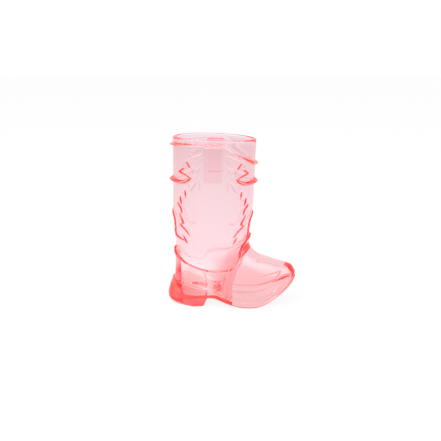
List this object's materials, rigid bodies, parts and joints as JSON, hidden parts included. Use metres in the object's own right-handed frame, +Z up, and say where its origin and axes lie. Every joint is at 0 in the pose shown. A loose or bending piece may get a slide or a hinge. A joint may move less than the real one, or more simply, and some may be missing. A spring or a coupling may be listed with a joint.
{
  "type": "boot shot glass",
  "caption": "Small drinking glass in the form of a cowboy boot, moulded in clear tinted plastic, with a hollow shaft for the drink, a sealed toe, raised stitching and a solid heel.",
  "frame": {"origin": "on the ground, under the middle of the boot's box", "axes": "+Z up out of the shaft's mouth, +X towards the toe, +Y to the left of the boot"},
  "size_m": [0.0544, 0.029, 0.0708],
  "materials": {
    "tinted_plastic": "clear pink moulded plastic, polished",
    "heel_plastic": "the same clear pink plastic, solid, so its colour is deeper"
  },
  "bodies": {
    "root": {"boot_upper": "tinted_plastic", "outsole": "tinted_plastic", "heel_cap": "heel_plastic"}
  },
  "joints": []
}
